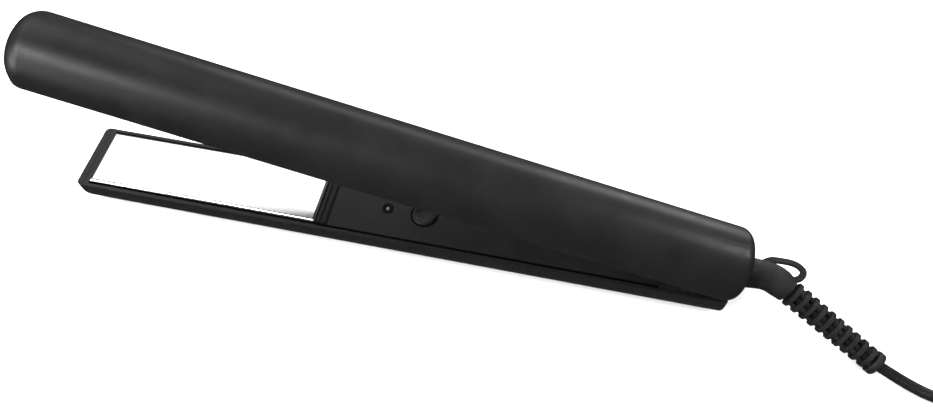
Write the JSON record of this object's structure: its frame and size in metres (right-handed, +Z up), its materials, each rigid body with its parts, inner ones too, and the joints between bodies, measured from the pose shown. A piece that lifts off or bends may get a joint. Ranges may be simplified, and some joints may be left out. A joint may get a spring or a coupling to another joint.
{
  "type": "flat iron",
  "caption": "Hair straightener with two hinged arms, floating heated plates, a push button and a mains cord on a swivelling neck with a hang loop.",
  "frame": {"origin": "on the surface that the lower arm rests on, directly under the arm hinge axis", "axes": "+X along the lower arm from the tips towards the cord end, +Y across the arms to the far side, +Z up"},
  "size_m": [0.4405, 0.0707, 0.0962],
  "materials": {
    "soft_touch_shell": "fine soft-touch matte",
    "inner_plastic": "fine matte",
    "mirror_plate": "polished coated plate",
    "heater_ceramic": "sintered ceramic",
    "steel": "zinc plated",
    "carrier_plastic": "heat-resistant plastic",
    "silicone": "soft matte",
    "light_lens": "clear light pipe",
    "circuit_board": "solder mask",
    "wire_sleeve": "silicone wire sleeve",
    "boot_rubber": "moulded flexible matte",
    "cord_sheath": "glossy flexible sheath",
    "plug_brass": "nickel plated"
  },
  "bodies": {
    "lower_arm": {"lower_shell": "soft_touch_shell", "lower_tip_cap": "soft_touch_shell", "lower_plate_carrier": "carrier_plastic", "lower_plate_stops": "silicone", "lower_end_bar": "inner_plastic", "lower_inner_cover": "inner_plastic", "lower_cover_screw": "steel", "lower_hinge_bracket": "steel", "lower_wires": "wire_sleeve", "hinge_pins": "steel", "opening_spring": "steel", "button_bezel": "inner_plastic", "light_lens": "light_lens", "circuit_board": "circuit_board", "push_switch": "carrier_plastic", "swivel_socket": "inner_plastic"},
    "lower_plate_unit": {"lower_plate": "mirror_plate", "lower_heater": "heater_ceramic", "heat_sensor": "silicone"},
    "upper_arm": {"upper_shell": "soft_touch_shell", "upper_tip_cap": "soft_touch_shell", "upper_plate_carrier": "carrier_plastic", "upper_plate_stops": "silicone", "upper_end_bar": "inner_plastic", "upper_inner_cover": "inner_plastic", "upper_cover_screw": "steel", "upper_hinge_bracket": "steel", "upper_wires": "wire_sleeve"},
    "upper_plate_unit": {"upper_plate": "mirror_plate", "upper_heater": "heater_ceramic"},
    "power_button": {"power_button": "inner_plastic"},
    "swivel": {"swivel_neck": "boot_rubber", "hang_loop": "boot_rubber", "strain_relief": "boot_rubber", "cord_lead": "cord_sheath", "cord_coil": "cord_sheath", "plug_body": "cord_sheath", "plug_pins": "plug_brass"}
  },
  "joints": [
    {"name": "arm_hinge", "type": "hinge", "parent": "lower_arm", "child": "upper_arm", "pos_m": [0, 0, 0.01795], "axis": [0, -1, 0], "range_deg": [0, 13.7], "stiffness_Nm_per_rad": 0.9, "springref_deg": -28.65, "deforming": ["opening_spring"]},
    {"name": "lower_plate_float", "type": "slide", "parent": "lower_arm", "child": "lower_plate_unit", "axis": [0, 0, -1], "range_m": [0, 0.0008], "stiffness_N_per_m": 3000, "springref_m": -0.0005},
    {"name": "upper_plate_float", "type": "slide", "parent": "upper_arm", "child": "upper_plate_unit", "axis": [0.2368, 0, 0.9715], "range_m": [0, 0.0008], "stiffness_N_per_m": 3000, "springref_m": -0.0005},
    {"name": "button_press", "type": "slide", "parent": "lower_arm", "child": "power_button", "axis": [0, 0, -1], "range_m": [0, 0.0008], "stiffness_N_per_m": 600, "springref_m": -0.0004},
    {"name": "neck_swivel", "type": "hinge", "parent": "lower_arm", "child": "swivel", "pos_m": [0.002, 0, 0.017], "axis": [1, 0, 0], "continuous": true}
  ]
}
